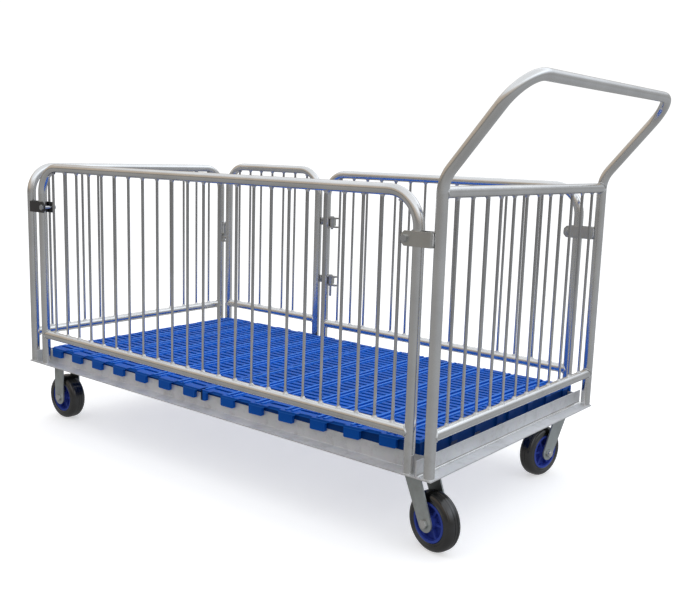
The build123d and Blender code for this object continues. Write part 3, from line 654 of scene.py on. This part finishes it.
def foot_bead(size):
    """One weld round the foot of a post that stands on the base."""
    bead = start(
        bpy.ops.mesh.primitive_torus_add,
        major_radius=TUBE_R + size * 0.05, minor_radius=size * 0.45, major_segments=24, minor_segments=6,
    )
    return finish_bead(bead, height=size * 0.30, grain=size * 0.9)


def seam_bead(size, length):
    """One straight weld along Z, a row of ripples with rounded ends."""
    bead = start(bpy.ops.mesh.primitive_uv_sphere_add, segments=10, ring_count=16, radius=size / 2)
    bead.scale.z = length / size
    settle(bead)
    return finish_bead(bead, height=size * 0.35, grain=size * 0.7)


def rod_places(panel, along):
    """Where each rod of a panel stands, along the panel, from the stretches that the rods' points fill."""
    reach = 2.5 * ROD_R
    places = sorted(v.co[along] for v in NODES[panel + "_bars"].data.vertices)
    rods = [[places[0], places[0]]]
    for place in places:
        if place - rods[-1][0] > reach:
            rods.append([place, place])
        rods[-1][1] = place
    return [(low + high) / 2 for low, high in rods]


def bend_drop(distance, bend):
    """How far a hoop's inner side falls below its straight run at a distance from the post, and its slope."""
    inside = bend - distance
    if inside <= 0:
        return 0.0, 0.0
    inner_r = bend - TUBE_R
    steepness = min(inside / inner_r, STEEPEST)
    return inner_r - math.sqrt(max(inner_r ** 2 - inside ** 2, 0.0)), math.asin(steepness)


def panel_joints(panel, along, bend):
    """Matrices for the welds at both ends of each rod of a panel."""
    draw = random.Random(panel)
    across = 1 - along
    bent = panel != "handle_end"
    rail_low, rail_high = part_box(panel + "_lower_rail")
    top_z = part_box(panel + ("_hoop" if bent else "_top_rail"))[1].z - 2 * TUBE_R
    along_axis = Vector((0, 0, 0))
    along_axis[along] = 1.0
    matrices = []
    for place in rod_places(panel, along):
        point = Vector((0, 0, 0))
        point[along] = place
        point[across] = middle(panel + "_bars")[across]
        stretch = Matrix.Diagonal([draw.uniform(*limits) for limits in ROD_WELD_STRETCH] + [1.0])
        x_axis = along_axis * draw.choice((1.0, -1.0))
        matrices.append(axes_matrix(x_axis, UP.cross(x_axis), UP, point + UP * rail_high.z) @ stretch)
        drop, slope = 0.0, 0.0
        if bent:
            from_low = place - rail_low[along]
            from_high = rail_high[along] - place
            drop, slope = bend_drop(min(from_low, from_high), bend)
            slope = math.copysign(slope, from_low - from_high)
        tilt = Matrix.Rotation(slope, 3, along_axis.cross(UP))
        x_axis = tilt @ along_axis
        down = tilt @ -UP
        matrices.append(axes_matrix(x_axis, down.cross(x_axis), down, point + UP * (top_z - drop)) @ stretch)
    return matrices


def rail_ends(rail, along):
    """The middles of a rail's two ends."""
    points = []
    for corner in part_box(rail):
        point = middle(rail)
        point[along] = corner[along]
        points.append(point)
    return points


def tee_joints(rail, along):
    """Matrices for the welds at both ends of a rail."""
    matrices = []
    for point in rail_ends(rail, along):
        inward = (middle(rail) - point).normalized()
        matrices.append(axes_matrix(inward, UP.cross(inward), UP, point))
    return matrices


def softened_copy(node, width):
    """A copy of a frame node with its sharp edges rounded."""
    mesh = NODES[node].data.copy()
    piece = bpy.data.objects.new(node + "_rounded", mesh)
    bpy.context.scene.collection.objects.link(piece)
    edit(piece)
    bpy.ops.mesh.customdata_custom_splitnormals_clear()
    bpy.ops.mesh.remove_doubles(threshold=MERGE)
    bpy.ops.mesh.dissolve_limited(angle_limit=math.radians(LEVEL))
    leave()
    apply_modifier(
        piece, "BEVEL", width=width, segments=2, limit_method="ANGLE",
        angle_limit=math.radians(SHARP), use_clamp_overlap=True, harden_normals=False,
    )
    smooth(piece, BLUNT)
    apply_modifier(piece, "WEIGHTED_NORMAL", keep_sharp=True)
    return piece


class CartOperator:
    """What every step of the cart shares."""

    bl_options = {"REGISTER", "UNDO"}

    def sizes(self):
        return bpy.context.scene.cart_sizes

    def round_off(self, node, width, ending, finish, slot):
        """Let a copy with rounded edges and a finish stand for a node."""
        finish_piece(softened_copy(node, width), node + ending, BODY_OF[node], finish, slot, node)


class CART_OT_stage(CartOperator, bpy.types.Operator):
    """Set the camera, the pale floor and the soft lights"""

    bl_idname = "cart.stage"
    bl_label = "Stage"

    # The camera's sensor in millimetres, and the floor's and the softbox's sides and places in metres
    SENSOR = 36.0
    FLOOR_SIDE = 80.0
    SOFTBOX_SIDE = 4.0
    SOFTBOX_PLACE = (0.0, 0.2, 2.6)
    SOFTBOX_TARGET = (0.0, 0.0, 0.3)

    def execute(self, context):
        stage = context.scene.cart_stage
        self.camera(context, stage)
        self.floor(stage)
        self.room(context, stage)
        self.softbox(stage)
        context.scene.view_settings.view_transform = "Standard"
        return {"FINISHED"}

    def camera(self, context, stage):
        forward = Vector(stage.camera_forward).normalized()
        right = Vector(stage.camera_right).normalized()
        bpy.ops.object.camera_add()
        camera = context.object
        camera.name = "photo_camera"
        camera.matrix_world = axes_matrix(right, right.cross(forward), -forward, Vector(stage.camera_place))
        camera.data.lens = stage.lens
        camera.data.sensor_width = self.SENSOR
        context.scene.camera = camera

    def floor(self, stage):
        """A pale floor that neither lights the cart nor shows in its reflections."""
        floor = start(bpy.ops.mesh.primitive_plane_add, size=self.FLOOR_SIDE)
        floor.name = "studio_floor"
        paint = Finish("studio_paint")
        pale = shade(stage.floor_colour, 0.99)
        tint = paint.mix(paint.noise(0.6, detail=2.0), pale, shade(stage.floor_colour, 1.01))
        paint.set(Base_Color=tint, Roughness=0.9, Emission_Color=tint, Emission_Strength=stage.floor_glow)
        floor.data.materials.append(paint.material)
        floor.visible_diffuse = False
        floor.visible_glossy = False

    def room(self, context, stage):
        """A bright sky over grey walls, warmer on the left and lighter on the right, and a white backdrop."""
        world = bpy.data.worlds.new("studio_room")
        context.scene.world = world
        world.use_nodes = True
        g = Graph(world.node_tree)
        way = g.add("TexCoord").outputs["Generated"]
        height = g.spread(g.add("SeparateXYZ", {"Vector": way}).outputs["Z"], (-1.0, 1.0))
        across = g.add("VectorMath", operation="DOT_PRODUCT")
        g.feed(across.inputs[0], way)
        g.feed(across.inputs[1], (stage.camera_right[0], stage.camera_right[1], 0.0))
        side = g.spread(across.outputs["Value"], (-SIDE_BLEND, SIDE_BLEND))
        light = g.mix(side, self.ramp(g, height, LEFT_LIGHT), self.ramp(g, height, RIGHT_LIGHT))
        seen = g.add("LightPath").outputs["Is Camera Ray"]
        background = g.tree.nodes["Background"]
        g.feed(background.inputs["Color"], g.mix(seen, light, BACKDROP))
        g.feed(background.inputs["Strength"], stage.sky)

    def ramp(self, g, height, stops):
        """The room's colour at a height."""
        made = g.add("ValToRGB", {"Fac": height})
        while len(made.color_ramp.elements) < len(stops):
            made.color_ramp.elements.new(0.5)
        for stop, (place, colour) in zip(made.color_ramp.elements, stops):
            stop.position = place
            stop.color = colour + (1.0,)
        return made.outputs["Color"]

    def softbox(self, stage):
        """A square light overhead that reflections don't show."""
        bpy.ops.object.light_add(type="AREA", location=self.SOFTBOX_PLACE)
        light = bpy.context.object
        light.name = "top_softbox"
        light.data.energy = stage.top_light
        light.data.shape = "SQUARE"
        light.data.size = self.SOFTBOX_SIDE
        light.visible_glossy = False
        aim = Vector(self.SOFTBOX_TARGET) - Vector(self.SOFTBOX_PLACE)
        light.rotation_euler = aim.to_track_quat("-Z", "Y").to_euler()


class CART_OT_tubes(CartOperator, bpy.types.Operator):
    """Galvanise the bent tubes, rails and rods of the barred panels"""

    bl_idname = "cart.tubes"
    bl_label = "Tubes and rods"

    def execute(self, context):
        for name, obj in NODES.items():
            if name.endswith(("_hoop", "_rail", "push_handle")) and not name.startswith("base_"):
                dress(obj, "tube")
            elif name.endswith("_bars") and name != "floor_cross_bars":
                dress(obj, "rod")
        return {"FINISHED"}


class CART_OT_rod_welds(CartOperator, bpy.types.Operator):
    """Weld both ends of every rod"""

    bl_idname = "cart.rod_welds"
    bl_label = "Rod welds"

    def execute(self, context):
        sizes = self.sizes()
        master = rod_bead(sizes.rod_bead)
        for panel, along in PANELS:
            piece = placed_copies(master, panel_joints(panel, along, sizes.bend))
            finish_piece(piece, panel + "_rod_welds", BODY_OF[panel + "_bars"], "weld", "rod_steel")
        discard(master)
        return {"FINISHED"}


class CART_OT_tube_welds(CartOperator, bpy.types.Operator):
    """Weld the rails to the posts and the posts to the base"""

    bl_idname = "cart.tube_welds"
    bl_label = "Tube welds"

    def execute(self, context):
        size = self.sizes().tube_bead
        tee = tee_bead(size)
        foot = foot_bead(size)
        tees = []
        feet = []
        for panel, along in PANELS:
            rail = panel + "_lower_rail"
            if panel == "gate":
                piece = placed_copies(tee, tee_joints(rail, along))
                finish_piece(piece, "gate_rail_welds", "gate", "weld", "tube_steel")
            else:
                tees += tee_joints(rail, along)
                for point in rail_ends(rail, along):
                    feet.append(Matrix.Translation((point.x, point.y, FLANGE_Z)))
        tees += tee_joints("handle_end_top_rail", 1)
        finish_piece(placed_copies(tee, tees), "rail_welds", "frame", "weld", "tube_steel")
        finish_piece(placed_copies(foot, feet), "post_foot_welds", "frame", "weld", "tube_steel")
        discard(tee)
        discard(foot)
        return {"FINISHED"}


class CART_OT_fitting_welds(CartOperator, bpy.types.Operator):
    """Weld the clips, brackets, arms and tab to their posts"""

    bl_idname = "cart.fitting_welds"
    bl_label = "Fitting welds"

    # Lengths of the straight welds, in metres
    POST_SEAM = 0.026
    GATE_SEAM = 0.018
    # How far they lie from a post's axis along X and Y, by shares of the tube's radius
    ON_CLIP = Vector((0.72, 0.96)) * TUBE_R
    ON_BRACKET = Vector((0.80, 0.74)) * TUBE_R
    ON_ARM = Vector((0.66, 0.86)) * TUBE_R
    # How far those at the latch tab lie off the post's face and off the tab, in shares of a weld's thickness
    TAB_SINK = 0.05
    TAB_OFF = 0.2

    def execute(self, context):
        size = self.sizes().seam_bead
        for length, places, name, body in (
            (self.POST_SEAM, self.clip_seams(), "clip_welds", "frame"),
            (self.POST_SEAM, self.bracket_seams(), "bracket_welds", "frame"),
            (self.GATE_SEAM, self.gate_seams(size), "gate_fitting_welds", "gate"),
        ):
            seam = seam_bead(size, length)
            finish_piece(placed_copies(seam, places), name, body, "weld", "zinc_plate")
            discard(seam)
        return {"FINISHED"}

    def hinge_heights(self):
        """The middles of the two hinge brackets, which are as tall as the latch keeper."""
        low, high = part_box("gate_hinge_brackets")
        half = middle("latch_keeper").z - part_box("latch_keeper")[0].z
        return high.z - half, low.z + half

    def clip_seams(self):
        places = []
        for name, post_x in (("near_left", LEFT_X), ("near_right", HANDLE_X), ("far_right", HANDLE_X)):
            clip = middle("corner_clip_" + name)
            x = post_x + math.copysign(self.ON_CLIP.x, clip.x - post_x)
            for y in (clip.y - self.ON_CLIP.y, clip.y + self.ON_CLIP.y):
                places.append(Matrix.Translation((x, y, clip.z)))
        return places

    def bracket_seams(self):
        hinge_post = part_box("back_hoop")[0].x + TUBE_R
        brackets = [(hinge_post, z) for z in self.hinge_heights()] + [(LEFT_X, middle("latch_keeper").z)]
        places = []
        for post_x, z in brackets:
            for y in (SIDE_Y - self.ON_BRACKET.y, SIDE_Y + self.ON_BRACKET.y):
                places.append(Matrix.Translation((post_x + self.ON_BRACKET.x, y, z)))
        return places

    def gate_seams(self, size):
        """Upright welds on both sides of the hinge arms, and lying ones over and under the latch tab."""
        hoop_low, hoop_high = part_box("gate_hoop")
        post_x = hoop_high.x - TUBE_R
        places = []
        for z in self.hinge_heights():
            for x in (post_x - self.ON_ARM.x, post_x + self.ON_ARM.x):
                places.append(Matrix.Translation((x, SIDE_Y + self.ON_ARM.y, z)))
        lying = Matrix.Rotation(math.pi / 2, 4, "X")
        tab_low, tab_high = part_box("gate_latch_tab")
        for z in (tab_low.z - size * self.TAB_OFF, tab_high.z + size * self.TAB_OFF):
            places.append(Matrix.Translation((hoop_low.x + size * self.TAB_SINK, SIDE_Y, z)) @ lying)
        return places


class CART_OT_base(CartOperator, bpy.types.Operator):
    """Round the edges and roots of the angle-iron base and galvanise it"""

    bl_idname = "cart.base"
    bl_label = "Base"

    END_RAILS = ("base_rail_left", "base_rail_handle_end")
    # A root rounding: how far it stops short of its rail's ends in metres, how much of it is hollowed out, how
    # round the hollow is, and the angle in degrees up to which its shading is smooth
    ROOT_GAP = 0.002
    ROOT_HOLLOW = 0.96
    ROOT_PROFILE = 0.1
    ROOT_SMOOTH = 40.0

    def execute(self, context):
        sizes = self.sizes()
        for node in ("base_rail_near", "base_rail_far") + self.END_RAILS + ("caster_corner_plates",):
            self.round_off(node, sizes.edge, "_galvanised", "angle", "base_steel")
        dress(NODES["floor_cross_bars"], "angle")
        for node in self.END_RAILS:
            finish_piece(self.root(node, sizes.root), node + "_root", BODY_OF[node], "tube", "base_steel")
        return {"FINISHED"}

    def root(self, node, size):
        """The hollow rounding along the inside corner of an end rail, between its leg and its flange."""
        low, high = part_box(node)
        outward = math.copysign(1.0, low.x)
        leg_x = outward * (min(abs(low.x), abs(high.x)) + ANGLE_THICK)
        corner = (leg_x + outward * size / 2, 0.0, FLANGE_Z + size / 2)
        strip = start(bpy.ops.mesh.primitive_cube_add, size=1.0, location=corner)
        strip.scale = (size, high.y - low.y - 2 * self.ROOT_GAP, size)
        settle(strip)
        edit(strip, "EDGE")
        bpy.ops.mesh.select_all(action="DESELECT")
        leave()
        for edge in strip.data.edges:
            ends = [strip.data.vertices[i].co for i in edge.vertices]
            edge.select = all(abs(p.x - leg_x) > size / 2 and p.z - FLANGE_Z > size / 2 for p in ends)
        bpy.ops.object.mode_set(mode="EDIT")
        hollow = size * self.ROOT_HOLLOW
        bpy.ops.mesh.bevel(offset=hollow, segments=5, profile=self.ROOT_PROFILE, affect="EDGES")
        leave()
        smooth(strip, self.ROOT_SMOOTH)
        return strip


class CART_OT_floor(CartOperator, bpy.types.Operator):
    """Round the moulded edges of the slatted floor, bow one panel and colour both"""

    bl_idname = "cart.floor"
    bl_label = "Slatted floor"

    # How closely a point is on its seat, in metres, and how the bow grows along the panel
    SEAT_SLACK = 0.001
    LEG_SLACK = 0.0006
    BOW_POWER = 1.6

    def execute(self, context):
        sizes = self.sizes()
        for node in ("floor_panel_left", "floor_panel_handle_end"):
            piece = softened_copy(node, sizes.moulded_edge)
            self.note_places(piece)
            if node == "floor_panel_handle_end":
                self.bow(piece, sizes.bow_near, sizes.bow_far)
            finish_piece(piece, node + "_moulded", BODY_OF[node], "floor", "floor_plastic", node)
        return {"FINISHED"}

    def note_places(self, piece):
        """Keep where each point lies before the panel bows, for its finish."""
        place = piece.data.attributes.new(MOULD, "FLOAT_VECTOR", "POINT")
        for v in piece.data.vertices:
            place.data[v.index].vector = v.co

    def bow(self, piece, near, far):
        """Bow the panel up towards the handle, most at the near corner, its ribs and walls still seated."""
        low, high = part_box("floor_panel_handle_end")
        for v in piece.data.vertices:
            along = (v.co.x - low.x) / (high.x - low.x)
            across = (high.y - v.co.y) / (high.y - low.y)
            on_legs = v.co.z < BASE_HIGH.z + self.SEAT_SLACK and abs(v.co.y) < LEG_FACE + self.LEG_SLACK
            if not on_legs or v.co.x >= high.x - self.SEAT_SLACK:
                v.co.z += max(along, 0.0) ** self.BOW_POWER * (far + (near - far) * across)


class CART_OT_fittings(CartOperator, bpy.types.Operator):
    """Round and plate the clips, hinges, latch and their fasteners"""

    bl_idname = "cart.fittings"
    bl_label = "Clips, hinges and latch"

    def execute(self, context):
        edge = self.sizes().edge
        plated = [n for n in NODES if n.startswith("corner_clip_") and n.endswith(("left", "right"))]
        plated += ["gate_hinge_brackets", "gate_hinge_arms", "gate_latch_tab", "latch_keeper"]
        for node in plated:
            # The near left clip gets painted shade, a darker copy of the strap zinc
            finish = "dull" if node == "corner_clip_near_left" else "strap"
            self.round_off(node, edge, "_plated", finish, "zinc_plate")
        for node in ("corner_clip_bolts", "corner_clip_nuts", "caster_bolts", "caster_nuts"):
            self.round_off(node, edge, "_plated", "bolt", "zinc_fasteners")
        for node in ("gate_hinge_pins", "latch_pin"):
            dress(NODES[node], "bolt")
        return {"FINISHED"}


class CART_OT_casters(CartOperator, bpy.types.Operator):
    """Plate the forks, colour the hubs and make the tyres"""

    bl_idname = "cart.casters"
    bl_label = "Casters"

    # A tyre's outline, in metres: its bead, a ring moulded on its side, a round shoulder with shallow notches
    # at some of its steps, and a groove in its tread
    BEAD = 0.0015
    RING = 0.0050
    RING_DENT = 0.0007
    SHOULDER = 0.0130
    SHOULDER_STEPS = 12
    NOTCHED = (4, 6, 8)
    NOTCH_SHARE = 0.45
    GROOVE_OUTER = 0.00475
    GROOVE_INNER = 0.00225
    GROOVE_SLOPE = 0.0004
    # Steps round a tyre, and the angle in degrees up to which its shading is smooth
    ROUND_STEPS = 80
    TYRE_SMOOTH = 28.0

    def execute(self, context):
        sizes = self.sizes()
        for node in [n for n in NODES if "_fork_" in n] + ["swivel_plates"]:
            self.round_off(node, sizes.edge, "_plated", "plate", "zinc_plate")
        for node in [n for n in NODES if "_axle" in n]:
            if "sleeve" in node:
                dress(NODES[node], "bolt")
            else:
                self.round_off(node, sizes.edge, "_plated", "tube", "zinc_fasteners")
        for node in ("swivel_kingpins", "swivel_bearing_balls"):
            dress(NODES[node], "bolt")
        for body in WHEEL_BODIES:
            tyre = body.replace("_wheel_", "_tyre_")
            hub = body.replace("_wheel_", "_hub_")
            self.round_off(hub, sizes.moulded_edge, "_moulded", "hub", "hub_plastic")
            piece = self.tyre(body, tyre, hub, sizes.groove)
            finish_piece(piece, tyre + "_ribbed", body, "rubber", "tyre_rubber", tyre)
        return {"FINISHED"}

    def section(self, hub_r, tread_r, half, groove):
        """The tyre's outline as radius and place across, from one bead round the tread to the other."""
        ring = hub_r + self.RING
        dent = self.RING_DENT
        side = [(hub_r, half - self.BEAD), (hub_r + self.BEAD, half), (ring - 2 * dent, half)]
        side += [(ring - dent, half - dent), (ring + dent, half - dent), (ring + 2 * dent, half)]
        for step in range(self.SHOULDER_STEPS + 1):
            turn = math.pi / 2 * step / self.SHOULDER_STEPS
            reach = self.SHOULDER - (groove * self.NOTCH_SHARE if step in self.NOTCHED else 0.0)
            r = tread_r - self.SHOULDER + reach * math.sin(turn)
            side.append((r, half - self.SHOULDER + reach * math.cos(turn)))
        bottom_r = tread_r - groove
        side += [(tread_r, self.GROOVE_OUTER), (bottom_r, self.GROOVE_OUTER - self.GROOVE_SLOPE)]
        side += [(bottom_r, self.GROOVE_INNER + self.GROOVE_SLOPE), (tread_r, self.GROOVE_INNER)]
        return side + [(r, -across) for r, across in reversed(side)]

    def tyre(self, body, tyre, hub, groove):
        """A round tyre spun about its axle, grooved round the tread and notched on the shoulders."""
        low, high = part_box(tyre)
        centre = Vector(SPIN_OF[body]["pos_m"])
        axis = Vector(SPIN_OF[body]["axis"]).normalized()
        tread_r = centre.z - low.z
        # The box of a turned wheel holds its width and its tread, so the tread's share comes off
        span = abs(axis.x) * (high.x - low.x) / 2 + abs(axis.y) * (high.y - low.y) / 2
        half = span - 2 * abs(axis.x) * abs(axis.y) * tread_r
        hub_low, hub_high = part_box(hub)
        section = self.section((hub_high.z - hub_low.z) / 2, tread_r, half, groove)
        piece = start(bpy.ops.mesh.primitive_circle_add, vertices=len(section), radius=tread_r)
        for v, (r, across) in zip(piece.data.vertices, section):
            v.co = centre + UP * r + axis * across
        edit(piece)
        bpy.ops.mesh.spin(steps=self.ROUND_STEPS, angle=2 * math.pi, center=centre, axis=axis)
        bpy.ops.mesh.select_all(action="SELECT")
        bpy.ops.mesh.remove_doubles(threshold=MERGE)
        bpy.ops.mesh.normals_make_consistent(inside=False)
        leave()
        smooth(piece, self.TYRE_SMOOTH)
        return piece


class CART_PT_panel(bpy.types.Panel):
    """The cart's steps, sizes and finishes"""

    bl_idname = "CART_PT_panel"
    bl_label = "Transfer cart"
    bl_space_type = "VIEW_3D"
    bl_region_type = "UI"
    bl_category = "Cart"

    def draw(self, context):
        for step in STEPS:
            self.layout.operator(step.bl_idname)
        for group in (context.scene.cart_finish, context.scene.cart_sizes, context.scene.cart_stage):
            box = self.layout.box()
            for name in group.bl_rna.properties.keys():
                if name not in ("rna_type", "name"):
                    box.prop(group, name)


STEPS = (
    CART_OT_stage, CART_OT_tubes, CART_OT_rod_welds, CART_OT_tube_welds, CART_OT_fitting_welds,
    CART_OT_base, CART_OT_floor, CART_OT_fittings, CART_OT_casters,
)
CLASSES = (CartFinish, CartSizes, CartStage) + STEPS + (CART_PT_panel,)


def register():
    for row in CLASSES:
        bpy.utils.register_class(row)
    bpy.types.Scene.cart_finish = bpy.props.PointerProperty(type=CartFinish)
    bpy.types.Scene.cart_sizes = bpy.props.PointerProperty(type=CartSizes)
    bpy.types.Scene.cart_stage = bpy.props.PointerProperty(type=CartStage)


def unregister():
    del bpy.types.Scene.cart_stage
    del bpy.types.Scene.cart_sizes
    del bpy.types.Scene.cart_finish
    for row in reversed(CLASSES):
        bpy.utils.unregister_class(row)


def main():
    """Register the steps, make the finishes and build the looks in order."""
    register()
    make_finishes(bpy.context.scene.cart_finish)
    bpy.ops.cart.stage()
    bpy.ops.cart.tubes()
    bpy.ops.cart.rod_welds()
    bpy.ops.cart.tube_welds()
    bpy.ops.cart.fitting_welds()
    bpy.ops.cart.base()
    bpy.ops.cart.floor()
    bpy.ops.cart.fittings()
    bpy.ops.cart.casters()


if __name__ == "__main__":
    main()
